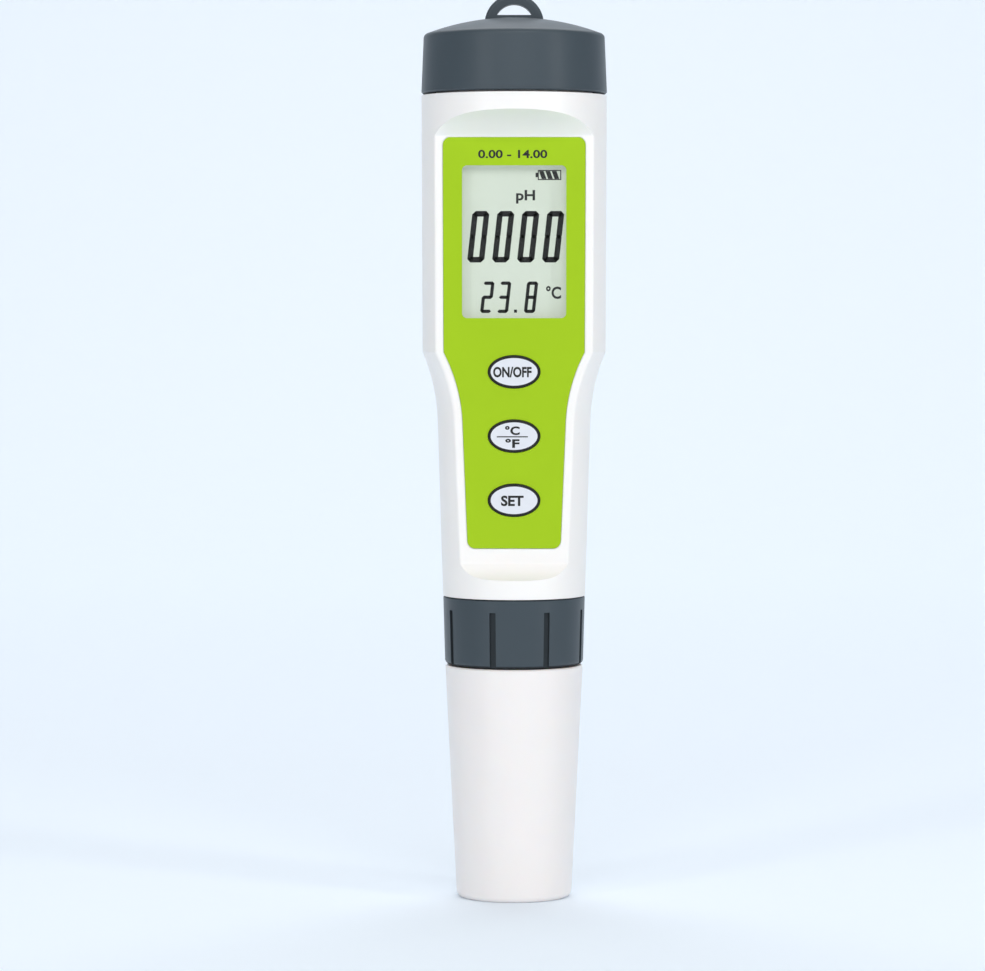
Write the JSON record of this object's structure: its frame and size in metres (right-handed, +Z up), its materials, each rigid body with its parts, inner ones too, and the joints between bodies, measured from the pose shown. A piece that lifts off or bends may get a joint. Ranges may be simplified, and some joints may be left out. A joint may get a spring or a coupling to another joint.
{
  "type": "water quality test pen",
  "caption": "Pocket water tester: waisted round housing with a flat display face and oval keys, a screw lid with lanyard loop, and a clamped probe under a pull-off storage cap.",
  "frame": {"origin": "centre of the foot of the storage cap, on the axis of the pen", "axes": "+Z up along the pen to the lanyard loop, display and keys face -Y, +X to the right of the display"},
  "size_m": [0.038, 0.038, 0.1852],
  "materials": {
    "white_plastic": "smooth moulded plastic, soft gloss",
    "green_label": "printed plastic film, satin",
    "clear_plastic": "clear plastic lens",
    "grey_plastic": "moulded plastic, matt",
    "display_glass": "display glass with film",
    "reflector": "pale green-grey reflective film",
    "soft_rubber": "soft rubber, matt",
    "board": "green solder mask",
    "black_plastic": "moulded plastic, matt",
    "ceramic_parts": "ceramic chip bodies",
    "steel": "plain steel",
    "gold_metal": "gold-plated brass",
    "cell_steel": "nickel-plated steel",
    "probe_plastic": "moulded plastic, satin",
    "probe_glass": "thin clear glass",
    "silver": "silver wire",
    "white_ceramic": "porous ceramic",
    "slate_plastic": "dark slate grey moulded plastic, satin",
    "milky_plastic": "milky white moulded plastic, slightly translucent",
    "sponge": "open-cell sponge",
    "key_plastic": "pale grey key with a black edge"
  },
  "bodies": {
    "housing": {"main_housing": "white_plastic", "front_label": "green_label", "display_window": "clear_plastic", "display_frame": "grey_plastic", "display_front_glass": "display_glass", "display_rear_glass": "display_glass", "display_reflector": "reflector", "zebra_connector": "soft_rubber", "main_board": "board", "controller_chip": "black_plastic", "board_components": "ceramic_parts", "key_switches": "black_plastic", "board_screws": "steel", "battery_cradle": "black_plastic", "cradle_screws": "steel", "positive_contact": "gold_metal", "negative_contact": "gold_metal", "battery_cell_1": "cell_steel", "battery_cell_2": "cell_steel", "battery_cell_3": "cell_steel", "battery_cell_4": "cell_steel", "socket_block": "black_plastic", "socket_contacts": "gold_metal"},
    "lid_lift": {"cap_gasket": "soft_rubber"},
    "lid": {"battery_cap": "slate_plastic"},
    "probe": {"electrode_housing": "probe_plastic", "plug_pins": "gold_metal", "plug_seal": "soft_rubber", "storage_seal": "soft_rubber", "glass_electrode": "probe_glass", "silver_wire": "silver", "reference_junction": "white_ceramic", "conductivity_pins": "steel", "temperature_probe": "steel", "probe_guard": "probe_plastic"},
    "collar": {"locking_collar": "slate_plastic"},
    "storage": {"storage_cap": "milky_plastic", "storage_sponge": "sponge"},
    "power_key": {"power_key": "key_plastic", "power_plunger": "black_plastic"},
    "unit_key": {"unit_key": "key_plastic", "unit_plunger": "black_plastic"},
    "set_key": {"set_key": "key_plastic", "set_plunger": "black_plastic"}
  },
  "joints": [
    {"name": "lid_rise", "type": "slide", "parent": "housing", "child": "lid_lift", "axis": [0, 0, 1], "range_m": [0, 0.0105]},
    {"name": "lid_turn", "type": "hinge", "parent": "lid_lift", "child": "lid", "pos_m": [0, 0, 0.1645], "axis": [0, 0, 1], "range_deg": [0, 1260]},
    {"name": "probe_drop", "type": "slide", "parent": "housing", "child": "probe", "axis": [0, 0, -1], "range_m": [0, 0.0105]},
    {"name": "collar_turn", "type": "hinge", "parent": "probe", "child": "collar", "pos_m": [0, 0, 0.0501], "axis": [0, 0, -1], "range_deg": [0, 1260]},
    {"name": "storage_cap_pull", "type": "slide", "parent": "probe", "child": "storage", "axis": [0, 0, -1], "range_m": [0, 0.045]},
    {"name": "power_key_press", "type": "slide", "parent": "housing", "child": "power_key", "axis": [0, 1, 0], "range_m": [0, 0.00045], "stiffness_N_per_m": 400},
    {"name": "unit_key_press", "type": "slide", "parent": "housing", "child": "unit_key", "axis": [0, 1, 0], "range_m": [0, 0.00045], "stiffness_N_per_m": 400},
    {"name": "set_key_press", "type": "slide", "parent": "housing", "child": "set_key", "axis": [0, 1, 0], "range_m": [0, 0.00045], "stiffness_N_per_m": 400}
  ],
  "couplings": [
    {"joint": "lid_rise", "follows": "lid_turn", "m_per_rad": 0.00047746},
    {"joint": "probe_drop", "follows": "collar_turn", "m_per_rad": 0.00047746}
  ]
}
